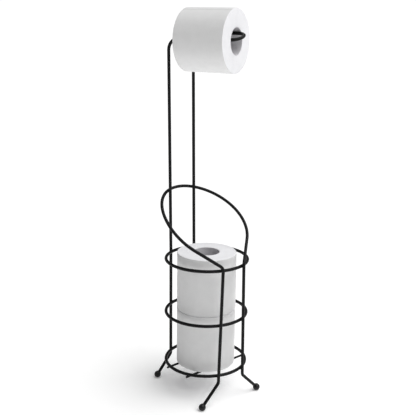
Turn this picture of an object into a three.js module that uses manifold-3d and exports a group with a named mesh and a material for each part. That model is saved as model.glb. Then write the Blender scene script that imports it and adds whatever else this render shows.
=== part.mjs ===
// A free-standing toilet paper stand of bent and welded steel wire. One roll hangs on the hairpin
// arm at the top of the mast, and two spare rolls stand in the wire cage below.
// Millimetres, +Z up, +X out along the arm, with the origin on the floor under the middle.
import * as THREE from "three";
import { mergeVertices } from "three/addons/utils/BufferGeometryUtils.js";
import Module from "manifold-3d";

const wasm = await Module();
wasm.setup();

// Wire
const wireDiameter = 5.8; // mast, scoop and rings
const baseWireDiameter = 4; // the two thin wires under the cage
const weldGap = 0.3; // between pieces that are welded or rest on each other
const legBend = 10; // bend radius where a leg turns out to its foot
const leanBend = 60; // the slight set of the mast above the cage

// Rolls
const spareDiameter = 110;
const spareHeight = 108;
const hungDiameter = 112;
const hungLength = 96;
const coreBore = 46; // inside diameter of the cardboard core
const coreWall = 1;
const paperEdge = 1.5; // rounding of the paper's outer edges

// Cage
const cageClearance = 17.1; // from a spare roll to the rings, all round
const ringHeights = { bottom_ring: 54.5, middle_ring: 152, top_ring: 255 };
const baseWireSpacing = 52;
const baseWireOffset = 3; // the pair sits this far forward of the middle
const baseWireTurn = 4; // degrees, the pair's slight turn from square
const baseWireOverhang = 3; // each end runs this far past the ring's middle line

// Mast, the wire that makes both rear posts and the arm
const mastHalfSpacing = 27.2;
const mastLean = 1.2; // degrees, backwards above the cage
const armHeight = 652.5; // middle of the hairpin
const armSkew = 25; // degrees, the arm's turn from the cage's middle plane
const armReach = 49; // hairpin tip past the cage's middle, along the arm
const hairpinSlack = 4; // how much narrower than the core the hairpin is, outside
const hairpinRoll = 17; // degrees, the hairpin's turn about its own axis
const nearBend = 20; // where the near post turns into the arm
const shoulderBend = 9; // where the far post turns in, and again into the arm
const rollClearance = 0.8; // from the hung roll's rear end to the far post

// Scoop, the wire that makes both front legs and the hoop over the cage
const legHalfSpacingTop = 23.6;
const legHalfSpacingBottom = 28;
const hoopExtraLength = 1.5; // half length past the rings' middle line, seen from above
const hoopExtraWidth = 5;
const hoopBulge = 7.5; // how much further the hoop stands out on its right side than on its left
const hoopFrontRise = 7; // over the top ring, at the legs
const hoopRearRise = 115; // over the top ring, at the mast
const hoopBend = 10; // where a leg turns into the hoop

// Feet
const footDiameter = 13;
const footFlat = 0.4; // depth of the flat under each ball
const kneeHeight = 42.5; // where the legs turn out
const rearFootReach = 58.5; // ball middle from the cage's middle plane
const frontFootReach = 64.5;

// Fineness of the facets
const wireSides = 10;
const bendStep = THREE.MathUtils.degToRad(15);
const hoopStep = THREE.MathUtils.degToRad(11);
const ringSteps = 40;
const rollSteps = 36;

const wireRadius = wireDiameter / 2;
const baseWireRadius = baseWireDiameter / 2;
const ringRadius = spareDiameter / 2 + cageClearance + wireRadius;
const postRadius = ringRadius + wireDiameter + weldGap; // posts and legs stand outside the rings
const hoopHalfLength = ringRadius + hoopExtraLength;
const hoopHalfWidth = ringRadius + hoopExtraWidth;
const hairpinWidth = coreBore - hairpinSlack - wireDiameter; // between the two wires' middle lines
const footCentreHeight = footDiameter / 2 - footFlat;

const blackWire = new THREE.MeshStandardMaterial({ color: 0x1c1c1e, roughness: 0.42, metalness: 0.3 });
const blackFoot = new THREE.MeshStandardMaterial({ color: 0x19191b, roughness: 0.3, metalness: 0.0 });
const tissue = new THREE.MeshStandardMaterial({ color: 0xf3f3f5, roughness: 0.95, metalness: 0.0 });
const cardboard = new THREE.MeshStandardMaterial({ color: 0xcfc8bd, roughness: 0.9, metalness: 0.0 });

function point(u, v, z) {
  return new THREE.Vector3(u, v, z);
}

function named(name, geometry, material) {
  const mesh = new THREE.Mesh(geometry, material);
  mesh.name = name;
  return mesh;
}

// The bent wire's own curve: it is asked only for its stations, which lie on the straight runs' ends
// and round each bend.
class StationCurve extends THREE.Curve {
  constructor(stations) {
    super();
    this.stations = stations;
  }
  indexAt(share) {
    return Math.round(share * (this.stations.length - 1));
  }
  getPointAt(share, target = new THREE.Vector3()) {
    return target.copy(this.stations[this.indexAt(share)]);
  }
  getTangentAt(share, target = new THREE.Vector3()) {
    const i = this.indexAt(share);
    const before = this.stations[Math.max(i - 1, 0)];
    const here = this.stations[i];
    const after = this.stations[Math.min(i + 1, this.stations.length - 1)];
    const arriving = here.clone().sub(before).normalize();
    const leaving = after.clone().sub(here).normalize();
    return target.copy(arriving.add(leaving)).normalize();
  }
}

// Straight runs between the corners, with each corner rounded to its bend radius.
function roundedStations(corners) {
  const stations = [];
  corners.forEach(({ at, bend }, i) => {
    if (!bend) {
      stations.push(at.clone());
      return;
    }
    const back = corners[i - 1].at.clone().sub(at).normalize();
    const ahead = corners[i + 1].at.clone().sub(at).normalize();
    const turn = Math.PI - back.angleTo(ahead);
    const start = at.clone().addScaledVector(back, bend * Math.tan(turn / 2));
    const inward = back.clone().add(ahead).normalize();
    const centre = at.clone().addScaledVector(inward, bend / Math.cos(turn / 2));
    const spoke = start.clone().sub(centre);
    const steps = Math.max(1, Math.ceil(turn / bendStep));
    for (let k = 0; k <= steps; k++) {
      const angle = (turn * k) / steps;
      stations.push(
        centre
          .clone()
          .addScaledVector(spoke, Math.cos(angle))
          .addScaledVector(back, -bend * Math.sin(angle)),
      );
    }
  });
  return stations.filter((s, i) => i === 0 || s.distanceTo(stations[i - 1]) > 0.01);
}

function wireAlong(corners, diameter) {
  const stations = roundedStations(corners);
  const section = new THREE.Shape();
  for (let k = 0; k < wireSides; k++) {
    const angle = (2 * Math.PI * k) / wireSides;
    const x = (diameter / 2) * Math.cos(angle);
    const y = (diameter / 2) * Math.sin(angle);
    if (k === 0) section.moveTo(x, y);
    else section.lineTo(x, y);
  }
  section.closePath();
  return new THREE.ExtrudeGeometry(section, {
    steps: stations.length - 1,
    extrudePath: new StationCurve(stations),
  });
}

// Where a post stands, as its distance forward of the middle, given its distance to the side.
function postForward(side) {
  return Math.sqrt(postRadius ** 2 - side ** 2);
}

function solidOf(geometry) {
  const bare = geometry.clone();
  bare.deleteAttribute("normal");
  bare.deleteAttribute("uv");
  const merged = mergeVertices(bare, 1e-4);
  return new wasm.Manifold(
    new wasm.Mesh({
      numProp: 3,
      vertProperties: merged.attributes.position.array,
      triVerts: new Uint32Array(merged.index.array),
    }),
  );
}

function geometryOf(solid) {
  const mesh = solid.getMesh();
  const geometry = new THREE.BufferGeometry();
  geometry.setAttribute("position", new THREE.BufferAttribute(mesh.vertProperties, 3));
  geometry.setIndex(new THREE.BufferAttribute(mesh.triVerts, 1));
  geometry.computeVertexNormals();
  return geometry;
}

const mastForward = -postForward(mastHalfSpacing);

// The mast's offset at a height: straight through the cage, then leaning back.
function mastForwardAt(height) {
  const above = Math.max(0, height - ringHeights.top_ring);
  return mastForward - above * Math.tan(THREE.MathUtils.degToRad(mastLean));
}

// A leg's last corner and its end in the ball, which stops just short of the socket's bottom.
function footOf(knee, reach) {
  const ball = point(knee.x, Math.sign(knee.y) * reach, footCentreHeight);
  const upWire = knee.clone().sub(ball).normalize();
  return { ball, upWire, wireEnd: ball.clone().addScaledVector(upWire, weldGap) };
}

// The arm's own directions, in the cage's plan.
const skew = THREE.MathUtils.degToRad(armSkew);
const roll = THREE.MathUtils.degToRad(hairpinRoll);
const alongArm = point(Math.cos(skew), Math.sin(skew), 0);
const acrossArm = point(-Math.sin(skew), Math.cos(skew), 0);
const hairpinDrop = (hairpinWidth / 2) * Math.sin(roll);
const nearHeight = armHeight - hairpinDrop;
const farHeight = armHeight + hairpinDrop;
const nearPostTop = point(mastForwardAt(nearHeight), -mastHalfSpacing, nearHeight);
const farPostTop = point(mastForwardAt(farHeight), mastHalfSpacing, farHeight);
const nearAcross = nearPostTop.dot(acrossArm);
const farAcross = nearAcross + hairpinWidth * Math.cos(roll);

function armPoint(along, across, height) {
  return alongArm.clone().multiplyScalar(along).addScaledVector(acrossArm, across).setZ(height);
}

// The far wire runs across from its post, level, until it lines up with the hairpin.
const shoulderRun = (farPostTop.dot(acrossArm) - farAcross) / Math.cos(skew);
const shoulder = farPostTop.clone().add(point(0, -shoulderRun, 0));
const shoulderTangents = 1 + Math.tan((Math.PI / 2 + skew) / 2); // the run that both bends take, per radius
const shoulderFit = Math.min(shoulderBend, (0.98 * shoulderRun) / shoulderTangents);

const rearKnees = [-1, 1].map((side) => point(mastForward, side * mastHalfSpacing, kneeHeight));
const rearFeet = rearKnees.map((knee) => footOf(knee, rearFootReach));
const leanStarts = [-1, 1].map((side) =>
  point(mastForward, side * mastHalfSpacing, ringHeights.top_ring),
);
const mastCorners = [
  { at: rearFeet[0].wireEnd },
  { at: rearKnees[0], bend: legBend },
  { at: leanStarts[0], bend: leanBend },
  { at: nearPostTop, bend: nearBend },
  { at: armPoint(armReach, nearAcross, nearHeight), bend: hairpinWidth / 2 },
  { at: armPoint(armReach, farAcross, farHeight), bend: hairpinWidth / 2 },
  { at: shoulder, bend: shoulderFit },
  { at: farPostTop, bend: shoulderFit },
  { at: leanStarts[1], bend: leanBend },
  { at: rearKnees[1], bend: legBend },
  { at: rearFeet[1].wireEnd },
];

// The legs follow the rings' outside while they spread towards the floor.
function legAt(side, height) {
  const legSpan = ringHeights.top_ring - ringHeights.bottom_ring;
  const down = (ringHeights.top_ring - height) / legSpan;
  const top = postForward(legHalfSpacingTop);
  const bottom = postForward(legHalfSpacingBottom);
  return point(
    THREE.MathUtils.lerp(top, bottom, down),
    side * THREE.MathUtils.lerp(legHalfSpacingTop, legHalfSpacingBottom, down),
    height,
  );
}

// The hoop lies in one plane that climbs from the legs to the mast, and passes behind both posts.
const hoopFrontHeight = ringHeights.top_ring + hoopFrontRise;
const hoopRearHeight = ringHeights.top_ring + hoopRearRise;
const hoopFront = legAt(1, hoopFrontHeight).x;
const bulgeAtPost = hoopBulge * (mastHalfSpacing / hoopHalfWidth) ** 2;
const closestAngle = Math.asin((mastHalfSpacing + bulgeAtPost) / hoopHalfWidth);
const crossing = new THREE.Vector2(
  hoopHalfLength * Math.sin(closestAngle),
  (hoopHalfWidth - 2 * bulgeAtPost) * Math.cos(closestAngle),
).normalize();
const hoopRear = mastForwardAt(hoopRearHeight) - (wireDiameter + weldGap) / crossing.y;
const hoopMiddle = hoopRear + hoopHalfLength * Math.cos(closestAngle);

function hoopPoint(u, v) {
  const climb = (hoopFront - u) / (hoopFront - hoopRear);
  return point(u, v, THREE.MathUtils.lerp(hoopFrontHeight, hoopRearHeight, climb));
}

// The angle, round the hoop's middle, where a straight run from a leg's top meets it squarely.
function tangentAngle(leg) {
  const u = (leg.x - hoopMiddle) / hoopHalfLength;
  const v = leg.y / hoopHalfWidth;
  return Math.atan2(v, u) + Math.sign(leg.y) * Math.acos(1 / Math.hypot(u, v));
}

const legTops = [-1, 1].map((side) => legAt(side, hoopFrontHeight));
const frontKnees = [-1, 1].map((side) => legAt(side, kneeHeight));
const frontFeet = frontKnees.map((knee) => footOf(knee, frontFootReach));
const hoopStart = tangentAngle(legTops[0]);
const hoopEnd = tangentAngle(legTops[1]);
const hoopSweep = 2 * Math.PI + hoopStart - hoopEnd;
const hoopSteps = Math.ceil(hoopSweep / hoopStep);
// The corners stand out a little, so that the straight runs between them keep clear of the posts.
const hoopSwell = 1 / Math.cos(hoopSweep / hoopSteps / 2);
const hoopCorners = [];
for (let k = 0; k <= hoopSteps; k++) {
  const angle = hoopStart - (hoopSweep * k) / hoopSteps;
  hoopCorners.push({
    at: hoopPoint(
      hoopMiddle + hoopSwell * hoopHalfLength * Math.cos(angle),
      hoopSwell * hoopHalfWidth * Math.sin(angle) + hoopBulge * Math.sin(angle) ** 2,
    ),
  });
}
const scoopCorners = [
  { at: frontFeet[0].wireEnd },
  { at: frontKnees[0], bend: legBend },
  { at: legTops[0], bend: hoopBend },
  ...hoopCorners,
  { at: legTops[1], bend: hoopBend },
  { at: frontKnees[1], bend: legBend },
  { at: frontFeet[1].wireEnd },
];

function ringMesh(name, height) {
  const ring = new THREE.TorusGeometry(ringRadius, wireRadius, wireSides, ringSteps);
  const mesh = named(name, ring, blackWire);
  mesh.position.z = height;
  return mesh;
}

// A thin wire across the underside of the bottom ring.
function baseWireMesh(name, offset) {
  const halfChord = Math.sqrt(ringRadius ** 2 - offset ** 2) + baseWireOverhang;
  const rod = new THREE.CylinderGeometry(baseWireRadius, baseWireRadius, 2 * halfChord, wireSides);
  const mesh = named(name, rod, blackWire);
  mesh.position.set(offset, 0, 0);
  return mesh;
}

const baseWireHeight = ringHeights.bottom_ring - wireRadius - weldGap - baseWireRadius;

function footMesh(name, { ball, upWire }) {
  const sphere = new THREE.SphereGeometry(footDiameter / 2, 16, 12);
  const socketRadius = wireRadius + weldGap;
  const socket = new THREE.CylinderGeometry(socketRadius, socketRadius, footDiameter, wireSides * 2);
  socket.translate(0, footDiameter / 2, 0);
  socket.applyQuaternion(new THREE.Quaternion().setFromUnitVectors(point(0, 1, 0), upWire));
  const floorCut = new THREE.BoxGeometry(2 * footDiameter, 2 * footDiameter, footDiameter);
  floorCut.translate(0, 0, -footCentreHeight - footDiameter / 2);
  const solid = solidOf(sphere).subtract(solidOf(socket)).subtract(solidOf(floorCut));
  const mesh = named(name, geometryOf(solid), blackFoot);
  mesh.position.copy(ball);
  return mesh;
}

// A hollow round piece about the Y axis, with its outer edges rounded when edge isn't 0.
function sleeve(inner, outer, length, edge) {
  const half = length / 2;
  const profile = [new THREE.Vector2(inner, -half)];
  const arcSteps = edge ? 3 : 0;
  for (const end of [-1, 1]) {
    for (let k = 0; k <= arcSteps; k++) {
      const share = arcSteps ? k / arcSteps : 0;
      const angle = (Math.PI / 2) * (end < 0 ? share - 1 : share);
      const radius = outer - edge + edge * Math.cos(angle);
      profile.push(new THREE.Vector2(radius, end * (half - edge) + edge * Math.sin(angle)));
    }
  }
  profile.push(new THREE.Vector2(inner, half), new THREE.Vector2(inner, -half));
  return new THREE.LatheGeometry(profile, rollSteps);
}

function rollMeshes(name, diameter, length) {
  const coreRadius = coreBore / 2 + coreWall;
  const wound = sleeve(coreRadius + weldGap, diameter / 2, length, paperEdge);
  const paper = named(name + "_paper", wound, tissue);
  const core = named(name + "_core", sleeve(coreBore / 2, coreRadius, length, 0), cardboard);
  return [paper, core];
}

// The cage is built with its middle plane forward; the whole stand is then turned so that the arm
// lies along X, and set down with the middle of its outline at the origin.
const stand = new THREE.Group();
stand.add(named("mast_wire", wireAlong(mastCorners, wireDiameter), blackWire));
stand.add(named("scoop_wire", wireAlong(scoopCorners, wireDiameter), blackWire));
for (const [name, height] of Object.entries(ringHeights)) stand.add(ringMesh(name, height));

const basePair = new THREE.Group();
basePair.position.set(0, 0, baseWireHeight);
basePair.rotation.z = THREE.MathUtils.degToRad(baseWireTurn);
basePair.add(baseWireMesh("base_wire_front", baseWireOffset + baseWireSpacing / 2));
basePair.add(baseWireMesh("base_wire_rear", baseWireOffset - baseWireSpacing / 2));
stand.add(basePair);

stand.add(footMesh("rear_left_foot", rearFeet[0]));
stand.add(footMesh("rear_right_foot", rearFeet[1]));
stand.add(footMesh("front_left_foot", frontFeet[0]));
stand.add(footMesh("front_right_foot", frontFeet[1]));

// The spare rolls stand one on the other, on the thin wires.
const spareFloor = baseWireHeight + baseWireRadius + weldGap;
["spare_lower", "spare_upper"].forEach((name, level) => {
  const spare = new THREE.Group();
  spare.rotation.x = Math.PI / 2;
  spare.position.z = spareFloor + spareHeight / 2 + level * (spareHeight + weldGap);
  spare.add(...rollMeshes(name, spareDiameter, spareHeight));
  stand.add(spare);
});

// The hung roll's core rests on both wires of the hairpin, so its middle hangs below them, square
// to the hairpin's roll. Its rear end stops at the far post, which leans closer lower down.
const restRadius = coreBore / 2 - wireRadius - weldGap;
const hang = Math.sqrt(restRadius ** 2 - (hairpinWidth / 2) ** 2);
const hungAcross = (nearAcross + farAcross) / 2 + hang * Math.sin(roll);
const hungHeight = armHeight - hang * Math.cos(roll);
const lowestPost = point(mastForwardAt(hungHeight - hungDiameter / 2), mastHalfSpacing, 0);
const hungRear = lowestPost.dot(alongArm) + wireRadius + rollClearance;
const hung = new THREE.Group();
hung.add(...rollMeshes("hung", hungDiameter, hungLength));
hung.rotation.z = skew - Math.PI / 2;
hung.position.copy(armPoint(hungRear + hungLength / 2, hungAcross, hungHeight));
stand.add(hung);

stand.rotation.z = -skew;
const paperStand = new THREE.Group();
paperStand.add(stand);
const outline = new THREE.Box3().setFromObject(paperStand, true);
const middle = outline.getCenter(new THREE.Vector3());
stand.position.set(-middle.x, -middle.y, -outline.min.z);

export default paperStand;
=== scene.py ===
import math

import bmesh
import bpy
from mathutils import Matrix, Vector, geometry, noise


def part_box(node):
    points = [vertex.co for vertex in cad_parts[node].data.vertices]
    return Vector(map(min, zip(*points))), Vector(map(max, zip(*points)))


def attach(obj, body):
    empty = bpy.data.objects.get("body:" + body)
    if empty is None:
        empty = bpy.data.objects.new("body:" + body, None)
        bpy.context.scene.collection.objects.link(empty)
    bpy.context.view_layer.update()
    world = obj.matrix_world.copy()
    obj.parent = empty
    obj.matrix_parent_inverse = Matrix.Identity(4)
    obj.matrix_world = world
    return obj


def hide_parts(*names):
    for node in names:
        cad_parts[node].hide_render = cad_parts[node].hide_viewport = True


# A toilet paper stand of bent, welded and powder-coated wire, with one roll hung and two spare.
# Metres, +Z up, in the same frame as the CAD model.
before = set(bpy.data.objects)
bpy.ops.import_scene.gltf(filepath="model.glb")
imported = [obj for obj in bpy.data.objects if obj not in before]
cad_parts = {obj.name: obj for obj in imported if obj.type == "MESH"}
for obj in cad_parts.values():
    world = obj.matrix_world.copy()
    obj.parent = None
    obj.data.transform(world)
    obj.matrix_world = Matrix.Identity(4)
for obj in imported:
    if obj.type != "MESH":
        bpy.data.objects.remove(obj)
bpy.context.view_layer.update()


# Camera

cameraValues = {
    "place": (0.5843, -1.1386, 0.6862),
    "heading": 27.14,  # degrees, turned to the left of straight ahead
    "pitch": 14.69,  # degrees, looking down
    "roll": 0.84,  # degrees, anticlockwise seen from behind the camera
    "lens": 63.4,  # mm, on a sensor 36 mm wide
    "sensor": 36.0,
}


def makeCamera():
    data = bpy.data.cameras.new("camera")
    data.lens = cameraValues["lens"]
    data.sensor_width = cameraValues["sensor"]
    data.clip_start = 0.01
    heading, pitch, roll = (math.radians(cameraValues[key]) for key in ("heading", "pitch", "roll"))
    ahead = Vector((-math.sin(heading), math.cos(heading), -math.tan(pitch))).normalized()
    level = Vector((math.cos(heading), math.sin(heading), 0))
    upright = level.cross(ahead)
    across = level * math.cos(roll) + upright * math.sin(roll)
    camera = bpy.data.objects.new("camera", data)
    bpy.context.collection.objects.link(camera)
    turned = Matrix((across, across.cross(ahead), -ahead)).transposed()
    camera.matrix_world = Matrix.Translation(cameraValues["place"]) @ turned.to_4x4()
    bpy.context.scene.camera = camera


makeCamera()


# Materials

def addNode(tree, kind, inputs=(), **settings):
    node = tree.nodes.new(kind)
    for key, value in settings.items():
        setattr(node, key, value)
    for socket, value in dict(inputs).items():
        if isinstance(value, bpy.types.NodeSocket):
            tree.links.new(value, node.inputs[socket])
        else:
            node.inputs[socket].default_value = value
    return node


def newFinish(name, roughness, specular):
    material = bpy.data.materials.new(name)
    material.use_nodes = True
    tree = material.node_tree
    shader = tree.nodes["Principled BSDF"]
    shader.inputs["Roughness"].default_value = roughness
    shader.inputs["Specular IOR Level"].default_value = specular
    return material, tree, shader


def speckle(tree, where, scale, detail=2.0, stretch=None):
    if stretch:
        where = addNode(tree, "ShaderNodeMapping", {"Vector": where, "Scale": stretch}).outputs["Vector"]
    spots = addNode(tree, "ShaderNodeTexNoise", {"Vector": where, "Scale": scale, "Detail": detail})
    return spots.outputs["Fac"]


def blendColours(tree, amount, dark, light, low=0.3, high=0.7):
    ramp = addNode(tree, "ShaderNodeValToRGB", {"Fac": amount})
    for element, spot, colour in zip(ramp.color_ramp.elements, (low, high), (dark, light)):
        element.position = spot
        element.color = (*colour, 1.0)
    return ramp.outputs["Color"]


def between(tree, amount, low, high):
    spread = addNode(tree, "ShaderNodeMapRange", {"Value": amount, "From Min": 0.3, "From Max": 0.7})
    spread.inputs["To Min"].default_value = low
    spread.inputs["To Max"].default_value = high
    return spread.outputs["Result"]


def raised(tree, height, depth, strength, under=None):
    inputs = {"Height": height, "Distance": depth, "Strength": strength}
    if under:
        inputs["Normal"] = under
    return addNode(tree, "ShaderNodeBump", inputs).outputs["Normal"]


powderCoat = {
    "dark": (0.0030, 0.0030, 0.0034),
    "light": (0.0065, 0.0065, 0.0070),
    "roughness": (0.36, 0.50),
    "specular": 0.15,
    "peelScale": 1100,  # the coat's orange peel, in bumps per metre
    "peelDepth": 0.00002,
    "grainScale": 5200,
    "grainDepth": 0.000006,
    "driftScale": 45,  # slow changes of shade along the wire
    "polishScale": 240,
}


def powderCoatFinish():
    material, tree, shader = newFinish("blackPowderCoat", 0.42, powderCoat["specular"])
    where = addNode(tree, "ShaderNodeTexCoord").outputs["Object"]
    peel = speckle(tree, where, powderCoat["peelScale"])
    grain = speckle(tree, where, powderCoat["grainScale"])
    drift = speckle(tree, where, powderCoat["driftScale"], 4.0)
    polish = speckle(tree, where, powderCoat["polishScale"], 3.0)
    shade = blendColours(tree, drift, powderCoat["dark"], powderCoat["light"])
    tree.links.new(shade, shader.inputs["Base Color"])
    tree.links.new(between(tree, polish, *powderCoat["roughness"]), shader.inputs["Roughness"])
    orangePeel = raised(tree, peel, powderCoat["peelDepth"], 0.6)
    tree.links.new(raised(tree, grain, powderCoat["grainDepth"], 0.5, orangePeel), shader.inputs["Normal"])
    return material


ballPlastic = {
    "dark": (0.0040, 0.0040, 0.0045),
    "light": (0.0080, 0.0080, 0.0088),
    "roughness": (0.24, 0.40),
    "specular": 0.3,
    "driftScale": 160,
    "mouldScale": 2600,
    "mouldDepth": 0.000015,
    "scuffHeight": 0.0035,  # the ball is duller below this, where it slides on the floor
    "scuffRoughness": 0.25,
}


def ballPlasticFinish():
    material, tree, shader = newFinish("blackBallPlastic", 0.3, ballPlastic["specular"])
    where = addNode(tree, "ShaderNodeTexCoord").outputs["Object"]
    drift = speckle(tree, where, ballPlastic["driftScale"], 3.0)
    shade = blendColours(tree, drift, ballPlastic["dark"], ballPlastic["light"])
    tree.links.new(shade, shader.inputs["Base Color"])
    height = addNode(tree, "ShaderNodeSeparateXYZ", {"Vector": where}).outputs["Z"]
    scuffs = addNode(tree, "ShaderNodeMapRange", {"Value": height, "From Max": ballPlastic["scuffHeight"]})
    scuffs.inputs["To Min"].default_value = ballPlastic["scuffRoughness"]
    scuffs.inputs["To Max"].default_value = 0.0
    polish = between(tree, drift, *ballPlastic["roughness"])
    total = addNode(tree, "ShaderNodeMath", {0: polish, 1: scuffs.outputs["Result"]}, operation="ADD")
    tree.links.new(total.outputs["Value"], shader.inputs["Roughness"])
    mould = speckle(tree, where, ballPlastic["mouldScale"])
    tree.links.new(raised(tree, mould, ballPlastic["mouldDepth"], 0.5), shader.inputs["Normal"])
    return material


tissueLook = {
    # The side colour is partly painted shade: the paper's own tone, set darker than the end faces' so that
    # the roll's side looks shaded
    "side": ((0.725, 0.725, 0.725), (0.775, 0.775, 0.775)),
    "end": ((0.80, 0.80, 0.82), (0.87, 0.87, 0.89)),
    "roughness": 0.94,
    "specular": 0.25,
    "sheen": 0.12,
    "crepeScale": (2300, 260, 1),  # ridges per metre round the roll and along it
    "crepeDepth": 0.00007,
    "fibreScale": 7000,
    "fibreDepth": 0.00003,
    "layerScale": (24, 5200, 1),  # round the roll, and from its core outwards
    "layerDepth": 0.00016,
    "driftScale": 55,
    "perforationPitch": 0.115,
    "perforationDepth": 0.00008,
    "perforationHalfWidth": 0.0005,
    "slitSpacing": 0.0022,
}


def tissueFinish(name, shades, ridgeScale, ridgeDepth):
    material, tree, shader = newFinish(name, tissueLook["roughness"], tissueLook["specular"])
    shader.inputs["Sheen Weight"].default_value = tissueLook["sheen"]
    shader.inputs["Sheen Roughness"].default_value = 0.6
    wrap = addNode(tree, "ShaderNodeUVMap", uv_map="wrap").outputs["UV"]
    ridges = speckle(tree, wrap, 1.0, 3.0, ridgeScale)
    fibres = speckle(tree, wrap, tissueLook["fibreScale"], 3.0)
    drift = speckle(tree, wrap, tissueLook["driftScale"], 4.0)
    blotch = addNode(tree, "ShaderNodeMix", {"Factor": 0.4, "A": drift, "B": ridges}).outputs["Result"]
    tree.links.new(blendColours(tree, blotch, *shades), shader.inputs["Base Color"])
    coarse = raised(tree, ridges, ridgeDepth, 0.8)
    tree.links.new(raised(tree, fibres, tissueLook["fibreDepth"], 0.6, coarse), shader.inputs["Normal"])
    return material, tree, wrap


def tissueSideFinish():
    material, tree, wrap = tissueFinish(
        "tissueSide", tissueLook["side"], tissueLook["crepeScale"], tissueLook["crepeDepth"])
    shader = tree.nodes["Principled BSDF"]
    along = addNode(tree, "ShaderNodeSeparateXYZ", {"Vector": wrap})
    # A row of short slits across the roll, once a sheet.
    pitch = tissueLook["perforationPitch"]
    sheet = addNode(tree, "ShaderNodeMath", {0: along.outputs["X"], 1: pitch}, operation="MODULO")
    offLine = addNode(tree, "ShaderNodeMath", {0: sheet.outputs["Value"], 1: pitch / 2}, operation="SUBTRACT")
    away = addNode(tree, "ShaderNodeMath", {0: offLine.outputs["Value"]}, operation="ABSOLUTE")
    halfWidth, spacing = tissueLook["perforationHalfWidth"], tissueLook["slitSpacing"]
    line = addNode(tree, "ShaderNodeMapRange", {"Value": away.outputs["Value"], "From Max": halfWidth})
    slit = addNode(tree, "ShaderNodeMath", {0: along.outputs["Y"], 1: spacing}, operation="PINGPONG")
    cut = addNode(tree, "ShaderNodeMapRange", {"Value": slit.outputs["Value"], "From Max": spacing})
    both = {0: line.outputs["Result"], 1: cut.outputs["Result"]}
    row = addNode(tree, "ShaderNodeMath", both, operation="MAXIMUM")
    under = shader.inputs["Normal"].links[0].from_socket
    slits = raised(tree, row.outputs["Value"], tissueLook["perforationDepth"], 0.7, under)
    tree.links.new(slits, shader.inputs["Normal"])
    return material


boardLook = {
    "dark": (0.58, 0.57, 0.59),
    "light": (0.73, 0.72, 0.745),
    "roughness": 0.85,
    "fibreScale": (900, 2600, 1),
    "fibreDepth": 0.00005,
    "fleckScale": 700,
}


def boardFinish():
    material, tree, shader = newFinish("coreBoard", boardLook["roughness"], 0.3)
    wrap = addNode(tree, "ShaderNodeUVMap", uv_map="wrap").outputs["UV"]
    fibres = speckle(tree, wrap, 1.0, 4.0, boardLook["fibreScale"])
    flecks = speckle(tree, wrap, boardLook["fleckScale"], 5.0)
    pulp = addNode(tree, "ShaderNodeMix", {"Factor": 0.5, "A": fibres, "B": flecks}).outputs["Result"]
    shade = blendColours(tree, pulp, boardLook["dark"], boardLook["light"])
    tree.links.new(shade, shader.inputs["Base Color"])
    tree.links.new(raised(tree, fibres, boardLook["fibreDepth"], 0.6), shader.inputs["Normal"])
    return material


coatMaterial = powderCoatFinish()
ballMaterial = ballPlasticFinish()
sideMaterial = tissueSideFinish()
endMaterial = tissueFinish(
    "tissueEnd", tissueLook["end"], tissueLook["layerScale"], tissueLook["layerDepth"])[0]
boardMaterial = boardFinish()
print("materials:", len(bpy.data.materials))


# Pieces

def vertsOf(found):
    return [item for item in found if isinstance(item, bmesh.types.BMVert)]


def addPiece(name, bm, materials, body, replaced=(), sharpAngle=40):
    bmesh.ops.recalc_face_normals(bm, faces=bm.faces)
    mesh = bpy.data.meshes.new(name)
    bm.to_mesh(mesh)
    bm.free()
    mesh.shade_smooth()
    mesh.set_sharp_from_angle(angle=math.radians(sharpAngle))
    for material in materials:
        mesh.materials.append(material)
    piece = bpy.data.objects.new(name, mesh)
    bpy.context.collection.objects.link(piece)
    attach(piece, body)
    if replaced:
        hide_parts(*replaced)
    return piece


# The cage's own directions are forward, left and up. The whole stand is turned so that its arm
# lies along X, and its rings' middle is where the CAD rings have theirs.
wireValues = {
    "diameter": 0.0058,
    "gap": 0.0003,  # between wires that are welded to each other
    "sides": 24,
    "bendStep": math.radians(6),
    "endBevel": 0.0005,
}
cageValues = {
    "ringRadius": 0.075,
    "turn": math.radians(-25),
}
ringNames = {"bottom_ring": "bottomRing", "middle_ring": "middleRing", "top_ring": "topRing"}
wireRadius = wireValues["diameter"] / 2
postRadius = cageValues["ringRadius"] + wireValues["diameter"] + wireValues["gap"]
cageMiddle = sum(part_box("middle_ring"), Vector()) / 2
cageTurn = Matrix.Rotation(cageValues["turn"], 3, "Z")
ringHeights = {node: sum(corner.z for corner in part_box(node)) / 2 for node in ringNames}
topRingHeight = ringHeights["top_ring"]
bottomRingHeight = ringHeights["bottom_ring"]


def inCage(forward, left, height):
    spot = cageTurn @ Vector((forward, left, 0))
    return Vector((cageMiddle.x + spot.x, cageMiddle.y + spot.y, height))


def postForward(side):
    return math.sqrt(postRadius ** 2 - side ** 2)


def roundCorners(corners):
    stations = []
    for i, (corner, bend) in enumerate(corners):
        if not bend:
            stations.append(corner)
            continue
        back = (corners[i - 1][0] - corner).normalized()
        ahead = (corners[i + 1][0] - corner).normalized()
        turn = math.pi - back.angle(ahead)
        start = corner + back * bend * math.tan(turn / 2)
        centre = corner + (back + ahead).normalized() * bend / math.cos(turn / 2)
        steps = max(2, math.ceil(turn / wireValues["bendStep"]))
        for k in range(steps + 1):
            angle = turn * k / steps
            stations.append(centre + (start - centre) * math.cos(angle) - back * bend * math.sin(angle))
    return [spot for i, spot in enumerate(stations) if i == 0 or (spot - stations[i - 1]).length > 1e-5]


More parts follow.
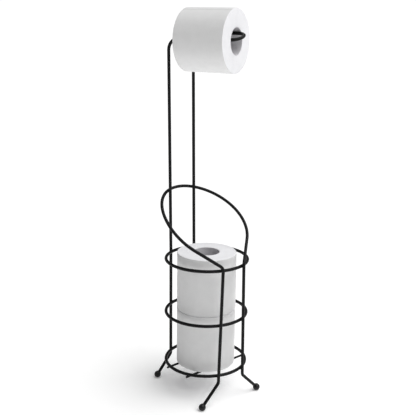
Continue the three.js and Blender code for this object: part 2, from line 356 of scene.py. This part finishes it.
# A round section is drawn out from station to station and turned square to the wire at each.
def drawWire(stations, diameter):
    runs = [(b - a).normalized() for a, b in zip(stations, stations[1:])]
    headings = [runs[0]] + [(a + b).normalized() for a, b in zip(runs, runs[1:])] + [runs[-1]]
    bm = bmesh.new()
    bmesh.ops.create_circle(bm, radius=diameter / 2, segments=wireValues["sides"])
    aim = Vector((0, 0, 1)).rotation_difference(headings[0]).to_matrix().to_4x4()
    bmesh.ops.transform(bm, verts=bm.verts, matrix=Matrix.Translation(stations[0]) @ aim)
    rim = bm.edges[:]
    for i in range(1, len(stations)):
        grown = set(vertsOf(bmesh.ops.extrude_edge_only(bm, edges=rim)["geom"]))
        rim = [edge for edge in bm.edges if edge.verts[0] in grown and edge.verts[1] in grown]
        bmesh.ops.translate(bm, verts=list(grown), vec=stations[i] - stations[i - 1])
        turned = headings[i - 1].rotation_difference(headings[i]).to_matrix()
        bmesh.ops.rotate(bm, verts=list(grown), cent=stations[i], matrix=turned)
    ends = [edge for edge in bm.edges if edge.is_boundary]
    bmesh.ops.holes_fill(bm, edges=ends, sides=0)
    bmesh.ops.bevel(bm, geom=ends, offset=wireValues["endBevel"], offset_type="OFFSET", segments=3,
                    profile=0.5, affect="EDGES", material=-1)
    return bm


footValues = {
    "diameter": 0.013,
    "flat": 0.0004,  # depth of the flat under the ball
    "collarRadius": 0.0041,
    "collarHeight": 0.0007,
    "socketClearance": 0.00012,
    "socketDepth": 0.004,
    "seamRidge": 0.00012,
    "steps": 56,
}
ballRadius = footValues["diameter"] / 2
ballHeight = ballRadius - footValues["flat"]


# The ball's middle, and the direction in which its wire leaves it.
def footOf(knee, reach):
    ball = Vector((knee.x, math.copysign(reach, knee.y), ballHeight))
    return ball, (knee - ball).normalized()


mastValues = {
    "halfSpacing": 0.0272,
    "lean": math.radians(1.2),  # backwards above the cage
    "leanBend": 0.060,
    "armHeight": 0.6525,
    "armReach": 0.049,  # hairpin tip past the cage's middle
    "hairpinWidth": 0.0362,
    "hairpinRoll": math.radians(17),
    "nearBend": 0.020,
    "shoulderBend": 0.009,
    "kneeHeight": 0.0425,
    "kneeBend": 0.010,
    "footReach": 0.0585,
}
alongArm = Vector((math.cos(-cageValues["turn"]), math.sin(-cageValues["turn"]), 0))
acrossArm = Vector((-alongArm.y, alongArm.x, 0))


def mastForwardAt(height):
    above = max(0.0, height - topRingHeight)
    return -postForward(mastValues["halfSpacing"]) - above * math.tan(mastValues["lean"])


def mastCorners():
    side = mastValues["halfSpacing"]
    width = mastValues["hairpinWidth"]
    drop = width / 2 * math.sin(mastValues["hairpinRoll"])
    nearHeight, farHeight = mastValues["armHeight"] - drop, mastValues["armHeight"] + drop
    nearTop = Vector((mastForwardAt(nearHeight), -side, nearHeight))
    farTop = Vector((mastForwardAt(farHeight), side, farHeight))
    nearAcross = nearTop.dot(acrossArm)
    farAcross = nearAcross + width * math.cos(mastValues["hairpinRoll"])
    shoulderRun = (farTop.dot(acrossArm) - farAcross) / alongArm.x
    shoulderTangents = 1 + math.tan((math.pi / 2 - cageValues["turn"]) / 2)
    shoulderBend = min(mastValues["shoulderBend"], 0.98 * shoulderRun / shoulderTangents)
    tips = [alongArm * mastValues["armReach"] + acrossArm * across + Vector((0, 0, height))
            for across, height in ((nearAcross, nearHeight), (farAcross, farHeight))]
    knees = [Vector((mastForwardAt(0), way * side, mastValues["kneeHeight"])) for way in (-1, 1)]
    leans = [Vector((mastForwardAt(0), way * side, topRingHeight)) for way in (-1, 1)]
    feet = [footOf(knee, mastValues["footReach"]) for knee in knees]
    ends = [ball + upWire * wireValues["gap"] for ball, upWire in feet]
    corners = [
        (ends[0], 0),
        (knees[0], mastValues["kneeBend"]),
        (leans[0], mastValues["leanBend"]),
        (nearTop, mastValues["nearBend"]),
        (tips[0], width / 2),
        (tips[1], width / 2),
        (farTop - Vector((0, shoulderRun, 0)), shoulderBend),
        (farTop, shoulderBend),
        (leans[1], mastValues["leanBend"]),
        (knees[1], mastValues["kneeBend"]),
        (ends[1], 0),
    ]
    return corners, feet


mastPath, rearFeet = mastCorners()
mastStations = [inCage(*spot) for spot in roundCorners(mastPath)]
mastMesh = drawWire(mastStations, wireValues["diameter"])
addPiece("mastWire", mastMesh, [coatMaterial], "stand", ["mast_wire"])

scoopValues = {
    "legHalfSpacingTop": 0.0236,
    "legHalfSpacingBottom": 0.028,
    "kneeHeight": 0.0425,
    "kneeBend": 0.010,
    "footReach": 0.0645,
    "hoopBend": 0.010,
    "halfLength": 0.0765,  # of the hoop, seen from above
    "halfWidth": 0.080,
    "bulge": 0.0075,  # how much further the hoop stands out on one side
    "frontRise": 0.007,  # over the top ring
    "rearRise": 0.115,
    "steps": 110,
}


def legAt(side, height):
    down = (topRingHeight - height) / (topRingHeight - bottomRingHeight)
    top, bottom = scoopValues["legHalfSpacingTop"], scoopValues["legHalfSpacingBottom"]
    forward = postForward(top) + (postForward(bottom) - postForward(top)) * down
    return Vector((forward, side * (top + (bottom - top) * down), height))


def scoopCorners():
    halfLength, halfWidth = scoopValues["halfLength"], scoopValues["halfWidth"]
    frontHeight = topRingHeight + scoopValues["frontRise"]
    rearHeight = topRingHeight + scoopValues["rearRise"]
    legTops = [legAt(way, frontHeight) for way in (-1, 1)]
    knees = [legAt(way, scoopValues["kneeHeight"]) for way in (-1, 1)]
    feet = [footOf(knee, scoopValues["footReach"]) for knee in knees]
    ends = [ball + upWire * wireValues["gap"] for ball, upWire in feet]
    # The hoop lies in one sloping plane and passes behind both posts.
    bulgeAtPost = scoopValues["bulge"] * (mastValues["halfSpacing"] / halfWidth) ** 2
    closest = math.asin((mastValues["halfSpacing"] + bulgeAtPost) / halfWidth)
    crossing = Vector((halfLength * math.sin(closest), (halfWidth - 2 * bulgeAtPost) * math.cos(closest)))
    crossing.normalize()
    rear = mastForwardAt(rearHeight) - (wireValues["diameter"] + wireValues["gap"]) / crossing.y
    middle = rear + halfLength * math.cos(closest)

    def hoopPoint(angle):
        forward = middle + halfLength * math.cos(angle)
        left = halfWidth * math.sin(angle) + scoopValues["bulge"] * math.sin(angle) ** 2
        climb = (legTops[0].x - forward) / (legTops[0].x - rear)
        return Vector((forward, left, frontHeight + (rearHeight - frontHeight) * climb))

    def tangentAngle(leg):
        u, v = (leg.x - middle) / halfLength, leg.y / halfWidth
        return math.atan2(v, u) + math.copysign(math.acos(1 / math.hypot(u, v)), leg.y)

    start, end = (tangentAngle(leg) for leg in legTops)
    sweep = 2 * math.pi + start - end
    hoop = [hoopPoint(start - sweep * k / scoopValues["steps"]) for k in range(scoopValues["steps"] + 1)]
    corners = [
        (ends[0], 0),
        (knees[0], scoopValues["kneeBend"]),
        (legTops[0], scoopValues["hoopBend"]),
        *((spot, 0) for spot in hoop),
        (legTops[1], scoopValues["hoopBend"]),
        (knees[1], scoopValues["kneeBend"]),
        (ends[1], 0),
    ]
    return corners, feet


scoopPath, frontFeet = scoopCorners()
scoopStations = [inCage(*spot) for spot in roundCorners(scoopPath)]
scoopMesh = drawWire(scoopStations, wireValues["diameter"])
addPiece("scoopWire", scoopMesh, [coatMaterial], "stand", ["scoop_wire"])
print("bent wires:", len(mastStations), "and", len(scoopStations), "stations")

ringValues = {
    "steps": 180,
    "seamSwell": 1.05,  # where the ring's ends are butt welded, between the rear posts
}


def makeRing(node, name):
    bm = bmesh.new()
    bmesh.ops.create_circle(bm, radius=wireRadius, segments=wireValues["sides"])
    seam = inCage(-cageValues["ringRadius"], 0, ringHeights[node])
    centre = Vector((cageMiddle.x, cageMiddle.y, ringHeights[node]))
    outward = (seam - centre).normalized()
    around = outward.cross(Vector((0, 0, 1)))
    upright = Vector((0, 0, 1)).rotation_difference(around).to_matrix().to_4x4()
    bmesh.ops.transform(bm, verts=bm.verts, matrix=Matrix.Translation(seam) @ upright)
    section = bm.verts[:]
    bmesh.ops.spin(bm, geom=bm.verts[:] + bm.edges[:], cent=centre, axis=(0, 0, 1), angle=2 * math.pi,
                   steps=ringValues["steps"], use_merge=True, use_duplicate=False)
    swell = ringValues["seamSwell"]
    bmesh.ops.scale(bm, verts=section, vec=(swell, swell, swell), space=Matrix.Translation(-seam))
    addPiece(name, bm, [coatMaterial], "stand", [node])


for node, name in ringNames.items():
    makeRing(node, name)

baseWireValues = {
    "diameter": 0.004,
    "spacing": 0.052,
    "offset": 0.003,  # the pair sits this far forward of the middle
    "turn": math.radians(4),
    "overhang": 0.003,
}
baseWireHeight = bottomRingHeight - wireRadius - wireValues["gap"] - baseWireValues["diameter"] / 2


def baseWirePoint(offset, left, height):
    return inCage(*(Matrix.Rotation(baseWireValues["turn"], 3, "Z") @ Vector((offset, left, height))))


baseOffsets = {
    "base_wire_front": baseWireValues["offset"] + baseWireValues["spacing"] / 2,
    "base_wire_rear": baseWireValues["offset"] - baseWireValues["spacing"] / 2,
}
baseCrossings = []
for node, offset in baseOffsets.items():
    halfChord = math.sqrt(cageValues["ringRadius"] ** 2 - offset ** 2)
    reach = halfChord + baseWireValues["overhang"]
    stations = [baseWirePoint(offset, way * reach, baseWireHeight) for way in (-1, 1)]
    name = "baseWireFront" if node == "base_wire_front" else "baseWireRear"
    rod = drawWire(stations, baseWireValues["diameter"])
    addPiece(name, rod, [coatMaterial], "stand", [node])
    seat = (bottomRingHeight - wireRadius + baseWireHeight + baseWireValues["diameter"] / 2) / 2
    baseCrossings += [baseWirePoint(offset, way * halfChord, seat) for way in (-1, 1)]
print("rings and base wires: 5")


# Welds: a short neck of metal joins the wires wherever two of them cross.
weldValues = {
    "radius": 0.0022,
    "thinRadius": 0.0016,
    "depth": 0.0018,  # how far the neck runs into each wire
    "flare": 1.35,
    "sides": 20,
    "levels": 4,  # on each side of the neck's waist
}


def addNeck(bm, centre, direction, radius):
    wide = weldValues["flare"]
    made = bmesh.ops.create_circle(bm, radius=radius * wide, segments=weldValues["sides"])["verts"]
    verts, rim = list(made), [edge for edge in bm.edges if edge.verts[0] in made]
    bmesh.ops.translate(bm, verts=verts, vec=(0, 0, -weldValues["depth"]))
    levels = weldValues["levels"]
    for k in range(1 - levels, levels + 1):
        grown = vertsOf(bmesh.ops.extrude_edge_only(bm, edges=rim)["geom"])
        members = set(grown)
        touching = {edge for vert in grown for edge in vert.link_edges}
        rim = [edge for edge in touching if members.issuperset(edge.verts)]
        share = 1 + (weldValues["flare"] - 1) * (k / levels) ** 2
        bmesh.ops.scale(bm, verts=grown, vec=(share / wide, share / wide, 1))
        bmesh.ops.translate(bm, verts=grown, vec=(0, 0, weldValues["depth"] / levels))
        wide = share
        verts += grown
    aim = Vector((0, 0, 1)).rotation_difference(direction).to_matrix().to_4x4()
    bmesh.ops.transform(bm, verts=verts, matrix=Matrix.Translation(centre) @ aim)


def withinRun(spot, start, end):
    run = end - start
    return start + run * min(1, max(0, (spot - start).dot(run) / run.length_squared))


# Where the hoop crosses a post: the middle of the shortest line between them.
def hoopCrossing(side):
    low, high = (inCage(mastForwardAt(z), side, z) for z in (topRingHeight, mastValues["armHeight"] - 0.05))
    best = None
    for a, b in zip(scoopStations, scoopStations[1:]):
        onHoop, onPost = geometry.intersect_line_line(a, b, low, high) or (a, high)
        onHoop, onPost = withinRun(onHoop, a, b), withinRun(onPost, low, high)
        if best is None or (onHoop - onPost).length < (best[0] - best[1]).length:
            best = onHoop, onPost
    return (best[0] + best[1]) / 2, (best[0] - best[1]).normalized()


def makeWelds():
    bm = bmesh.new()
    for height in ringHeights.values():
        uprights = [Vector((-postForward(mastValues["halfSpacing"]), way * mastValues["halfSpacing"], height))
                    for way in (-1, 1)]
        uprights += [legAt(way, height) for way in (-1, 1)]
        for upright in uprights:
            outward = Vector((upright.x, upright.y, 0)).normalized()
            contact = outward * (cageValues["ringRadius"] + wireRadius + wireValues["gap"] / 2)
            spot = inCage(contact.x, contact.y, height)
            addNeck(bm, spot, cageTurn @ outward, weldValues["radius"])
    for side in (-mastValues["halfSpacing"], mastValues["halfSpacing"]):
        addNeck(bm, *hoopCrossing(side), weldValues["radius"])
    for spot in baseCrossings:
        addNeck(bm, spot, Vector((0, 0, 1)), weldValues["thinRadius"])
    bmesh.ops.holes_fill(bm, edges=[edge for edge in bm.edges if edge.is_boundary], sides=0)
    addPiece("weldNecks", bm, [coatMaterial], "stand")


makeWelds()


# Feet: a moulded ball with a collar round its wire, spun about the wire's own line.
def makeFoot(node, name, ball, upWire):
    bm = bmesh.new()
    pole = bmesh.ops.create_vert(bm, co=(0, 0, -ballRadius))["vert"]
    collarAngle = math.pi - math.asin(footValues["collarRadius"] / ballRadius)
    arc = bmesh.ops.spin(bm, geom=pole, cent=(0, 0, 0), axis=(0, -1, 0), angle=collarAngle, steps=32)
    tip = vertsOf(arc["geom_last"])
    collarBase = tip[0].co.copy()
    socketRadius = wireRadius + footValues["socketClearance"]
    rise = footValues["collarHeight"]
    steps = [
        (footValues["collarRadius"], collarBase.z + 0.6 * rise),
        (footValues["collarRadius"] - 0.3 * rise, collarBase.z + 0.92 * rise),
        (footValues["collarRadius"] - 0.7 * rise, collarBase.z + rise),
        (socketRadius + 0.2 * rise, collarBase.z + rise),
        (socketRadius, collarBase.z + 0.8 * rise),
        (socketRadius, collarBase.z - footValues["socketDepth"]),
        (0, collarBase.z - footValues["socketDepth"]),
    ]
    for radius, height in steps:
        tip = bmesh.ops.extrude_vert_indiv(bm, verts=tip)["verts"]
        tip[0].co = (radius, 0, height)
    for vert in bm.verts:
        if abs(vert.co.z) < 0.0002 and vert.co.x > ballRadius - 0.0001:
            vert.co.x += footValues["seamRidge"]
    bmesh.ops.spin(bm, geom=bm.verts[:] + bm.edges[:], cent=(0, 0, 0), axis=(0, 0, 1), angle=2 * math.pi,
                   steps=footValues["steps"], use_merge=True, use_duplicate=False)
    bmesh.ops.remove_doubles(bm, verts=bm.verts, dist=1e-6)
    aim = Vector((0, 0, 1)).rotation_difference(cageTurn @ upWire).to_matrix().to_4x4()
    bmesh.ops.transform(bm, verts=bm.verts, matrix=Matrix.Translation(inCage(*ball)) @ aim)
    bmesh.ops.bisect_plane(bm, geom=bm.verts[:] + bm.edges[:] + bm.faces[:], dist=1e-6,
                           plane_co=(0, 0, 0), plane_no=(0, 0, -1), clear_outer=True)
    bmesh.ops.holes_fill(bm, edges=[edge for edge in bm.edges if edge.is_boundary], sides=0)
    addPiece(name, bm, [ballMaterial], "stand", [node])


makeFoot("rear_left_foot", "rearLeftFoot", *rearFeet[0])
makeFoot("rear_right_foot", "rearRightFoot", *rearFeet[1])
makeFoot("front_left_foot", "frontLeftFoot", *frontFeet[0])
makeFoot("front_right_foot", "frontRightFoot", *frontFeet[1])
print("welds and feet: 5")


# Rolls, built about the Z axis round their own middle and then placed

def angleOf(spot):
    return math.atan2(spot.y, spot.x) % (2 * math.pi)


# The wrap map is in metres: round the roll, and along it or outwards from its core.
def addWrapMap(bm, radius):
    layer = bm.loops.layers.uv.new("wrap")
    for face in bm.faces:
        middle = angleOf(face.calc_center_median())
        across = abs(face.normal.z) > 0.75
        for loop in face.loops:
            spot = loop.vert.co
            angle = angleOf(spot)
            angle += 2 * math.pi * round((middle - angle) / (2 * math.pi))
            loop[layer].uv = (angle * radius, spot.xy.length if across else spot.z)


paperValues = {
    "coreRadius": 0.0243,  # the paper's own bore, on the core
    "edge": 0.0015,
    "around": 168,
    "faceLoops": 34,
    "sideLoops": 22,
    "sheetStep": 0.00045,  # where the last sheet ends
    "sheetEdgeWidth": 0.0004,
    "sideUneven": 0.00035,
    "faceUneven": 0.00022,
    "layerUneven": 0.00013,
}


def makePaper(node, name, diameter, length, place, body, seed):
    bm = bmesh.new()
    inner, outer, half = paperValues["coreRadius"], diameter / 2, length / 2
    outline = [(inner, -half), (outer, -half), (outer, half), (inner, half)]
    corners = [bmesh.ops.create_vert(bm, co=(x, 0, z))["vert"][0] for x, z in outline]
    for a, b in zip(corners, corners[1:] + corners[:1]):
        bm.edges.new((a, b))
    bmesh.ops.spin(bm, geom=bm.verts[:] + bm.edges[:], cent=(0, 0, 0), axis=(0, 0, 1), angle=2 * math.pi,
                   steps=paperValues["around"], use_merge=True, use_duplicate=False)
    rims = [edge for edge in bm.edges
            if all(abs(vert.co.xy.length - outer) < 1e-5 for vert in edge.verts)
            and abs(edge.verts[0].co.z - edge.verts[1].co.z) < 1e-6]
    bmesh.ops.bevel(bm, geom=rims, offset=paperValues["edge"], offset_type="OFFSET", segments=6,
                    profile=0.5, affect="EDGES", material=-1)
    spokes = [edge for edge in bm.edges
              if abs(edge.verts[0].co.xy.length - edge.verts[1].co.xy.length) > 0.005]
    bmesh.ops.subdivide_edges(bm, edges=spokes, cuts=paperValues["faceLoops"], use_grid_fill=True)
    staves = [edge for edge in bm.edges if abs(edge.verts[0].co.z - edge.verts[1].co.z) > 0.02
              and edge.verts[0].co.xy.length > outer - 0.001]
    bmesh.ops.subdivide_edges(bm, edges=staves, cuts=paperValues["sideLoops"], use_grid_fill=True)
    bmesh.ops.recalc_face_normals(bm, faces=bm.faces)
    addWrapMap(bm, outer)
    for face in bm.faces:
        face.material_index = 1 if abs(face.normal.z) > 0.75 else 0
    unevenPaper(bm, inner, outer, half, seed)
    bmesh.ops.transform(bm, verts=bm.verts, matrix=place)
    addPiece(name, bm, [sideMaterial, endMaterial], body, [node], sharpAngle=60)


# The outer sheet ends in a low step along the roll, the side is a little out of round, and the
# wound layers stand a little in and out of the faces.
def unevenPaper(bm, inner, outer, half, seed):
    stride = 2 * math.pi / paperValues["around"]
    closeBy = paperValues["sheetEdgeWidth"] / outer
    for vert in bm.verts:
        radius, angle, z = vert.co.xy.length, angleOf(vert.co), vert.co.z
        if radius < inner + 1e-5:
            continue
        around = Vector((math.cos(angle), math.sin(angle), 0))
        if angle > 2 * math.pi - stride / 2:
            angle = 0.0
        wound = angle / (2 * math.pi) if angle > stride / 2 else 1.0
        outermost = min(1.0, max(0.0, (radius - (outer - 0.003)) / 0.003))
        if angle < 1.5 * stride:
            ragged = 0.0004 * noise.noise(Vector((z * 420, seed, 0.5))) / outer
            target = ragged + (closeBy if angle > stride / 2 else 0.0)
            angle += (target - angle) * outermost
            around = Vector((math.cos(angle), math.sin(angle), 0))
        slow = noise.noise(Vector((around.x * 1.3, around.y * 1.3, z * 14 + seed * 7.1)))
        radius += outermost * (paperValues["sheetStep"] * (wound - 1) + paperValues["sideUneven"] * slow)
        if abs(z) > half - 1e-5:
            side = math.copysign(1, z)
            layer = noise.noise(Vector((radius * 1150, around.x * 0.7 + seed, around.y * 0.7 + 3 * side)))
            dish = noise.noise(Vector((radius * 90, around.x * 0.5 + seed * 2.3, around.y * 0.5)))
            z += side * (paperValues["layerUneven"] * layer + paperValues["faceUneven"] * (dish - 0.6))
        vert.co = around * radius + Vector((0, 0, z))


coreValues = {
    "bore": 0.046,
    "wall": 0.001,
    "innerPly": 0.0004,
    "pitch": 0.060,  # how far the spiral-wound strip climbs in a turn
    "seam": 0.0006,  # the gap left between the strip's edges
    "around": 96,
    "endRough": 0.00012,
}


# A spiral-wound tube: a plain outer ply, and an inner strip whose edges leave a thin spiral seam.
def makeCore(node, name, length, place, body, seed):
    half = length / 2
    outer = coreValues["bore"] / 2 + coreValues["wall"]
    inner = coreValues["bore"] / 2
    split = inner + coreValues["innerPly"]
    steps = coreValues["around"]
    tube = bmesh.new()
    outline = [(split, -half), (outer, -half), (outer, half), (split, half)]
    corners = [bmesh.ops.create_vert(tube, co=(x, 0, z))["vert"][0] for x, z in outline]
    for a, b in zip(corners, corners[1:] + corners[:1]):
        tube.edges.new((a, b))
    bmesh.ops.spin(tube, geom=tube.verts[:] + tube.edges[:], cent=(0, 0, 0), axis=(0, 0, 1),
                   angle=2 * math.pi, steps=steps, use_merge=True, use_duplicate=False)
    tubeFaces = bpy.data.meshes.new("tubeFaces")
    tube.to_mesh(tubeFaces)
    tube.free()
    strip = bmesh.new()
    pitch = coreValues["pitch"]
    turns = math.ceil(length / pitch) + 1
    low = -half - pitch
    levels = (low, low + pitch - coreValues["seam"])
    edge = [bmesh.ops.create_vert(strip, co=(split, 0, z))["vert"][0] for z in levels]
    strip.edges.new(edge)
    bmesh.ops.subdivide_edges(strip, edges=strip.edges[:], cuts=5)
    bmesh.ops.spin(strip, geom=strip.verts[:] + strip.edges[:], cent=(0, 0, 0), axis=(0, 0, 1),
                   dvec=(0, 0, pitch / steps), angle=2 * math.pi * turns, steps=steps * turns,
                   use_duplicate=False)
    for level in (-half, half):
        bmesh.ops.bisect_plane(strip, geom=strip.verts[:] + strip.edges[:] + strip.faces[:], dist=1e-6,
                               plane_co=(0, 0, level), plane_no=(0, 0, level), clear_outer=True)
    for face in strip.faces:
        if face.normal.dot(face.calc_center_median().xy.to_3d()) < 0:
            face.normal_flip()
    bmesh.ops.solidify(strip, geom=strip.faces[:], thickness=coreValues["innerPly"] - 0.00002)
    strip.from_mesh(tubeFaces)
    bpy.data.meshes.remove(tubeFaces)
    for vert in strip.verts:
        if abs(vert.co.z) > half - 1e-5:
            rough = noise.noise(Vector((vert.co.x * 300, vert.co.y * 300, seed)))
            vert.co.z += coreValues["endRough"] * (rough - 0.8) * math.copysign(1, vert.co.z)
    addWrapMap(strip, inner)
    bmesh.ops.transform(strip, verts=strip.verts, matrix=place)
    addPiece(name, strip, [boardMaterial], body, [node])


rollValues = {
    "hung": {"name": "hung", "axis": "x", "sheetEnd": 200, "seed": 1.7},
    "spare_lower": {"name": "spareLower", "axis": "z", "sheetEnd": 70, "seed": 4.2},
    "spare_upper": {"name": "spareUpper", "axis": "z", "sheetEnd": 130, "seed": 9.6},
}


# A roll's diameter is its depth in Y, whichever way it lies.
def makeRoll(roll, values):
    low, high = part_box(roll + "_paper")
    size = high - low
    length = getattr(size, values["axis"])
    tilt = Matrix.Rotation(math.pi / 2 if values["axis"] == "x" else 0, 4, "Y")
    start = Matrix.Rotation(math.radians(values["sheetEnd"]), 4, "Z")
    place = Matrix.Translation((low + high) / 2) @ tilt @ start
    body, name, seed = roll + "_roll", values["name"], values["seed"]
    makePaper(roll + "_paper", name + "Paper", size.y, length, place, body, seed)
    makeCore(roll + "_core", name + "Core", length, place, body, seed)


for roll, values in rollValues.items():
    makeRoll(roll, values)
print("rolls:", len(rollValues))


# Studio

studioValues = {
    "floorSize": 400.0,
    "floorColour": (0.90, 0.90, 0.90),
    "floorGlow": 0.18,
    "fill": 0.18,
    "seenStrength": 1.05,  # of the background behind the floor
    "keyFrom": (0.36, 0.14, 0.92),
    "keyPower": 2.85,
    "keySpread": math.radians(60),
    "sideLight": {"place": (1.6, -0.5, 1.1), "size": 1.0, "power": 3.0},
}


def makeFloor():
    bm = bmesh.new()
    bmesh.ops.create_grid(bm, x_segments=1, y_segments=1, size=studioValues["floorSize"] / 2)
    mesh = bpy.data.meshes.new("floor")
    bm.to_mesh(mesh)
    bm.free()
    material, tree, shader = newFinish("paleFloor", 0.9, 0.1)
    shader.inputs["Base Color"].default_value = (*studioValues["floorColour"], 1.0)
    shader.inputs["Emission Color"].default_value = (1, 1, 1, 1)
    shader.inputs["Emission Strength"].default_value = studioValues["floorGlow"]
    mesh.materials.append(material)
    floor = bpy.data.objects.new("floor", mesh)
    bpy.context.collection.objects.link(floor)


def addLight(name, kind, place, target, power):
    data = bpy.data.lights.new(name, kind)
    data.energy = power
    light = bpy.data.objects.new(name, data)
    bpy.context.collection.objects.link(light)
    aim = (target - place).to_track_quat("-Z", "Y").to_matrix().to_4x4()
    light.matrix_world = Matrix.Translation(place) @ aim
    return data


def makeLights():
    target = Vector((0, 0, 0.35))
    keyPlace = Vector(studioValues["keyFrom"]) + target
    key = addLight("keyLight", "SUN", keyPlace, target, studioValues["keyPower"])
    key.angle = studioValues["keySpread"]
    values = studioValues["sideLight"]
    side = addLight("sideLight", "AREA", Vector(values["place"]), target, values["power"])
    side.size = values["size"]


def makeWorld():
    world = bpy.data.worlds.new("studio")
    world.use_nodes = True
    tree = world.node_tree
    tree.nodes.clear()
    seen, fill = (
        addNode(tree, "ShaderNodeBackground", {"Color": (1, 1, 1, 1), "Strength": studioValues[key]})
        for key in ("seenStrength", "fill"))
    path = addNode(tree, "ShaderNodeLightPath")
    shares = {0: path.outputs["Is Camera Ray"], 1: fill.outputs[0], 2: seen.outputs[0]}
    chosen = addNode(tree, "ShaderNodeMixShader", shares)
    addNode(tree, "ShaderNodeOutputWorld", {"Surface": chosen.outputs[0]})
    bpy.context.scene.world = world
    bpy.context.scene.view_settings.view_transform = "Standard"


makeFloor()
makeLights()
makeWorld()
print("studio ready")
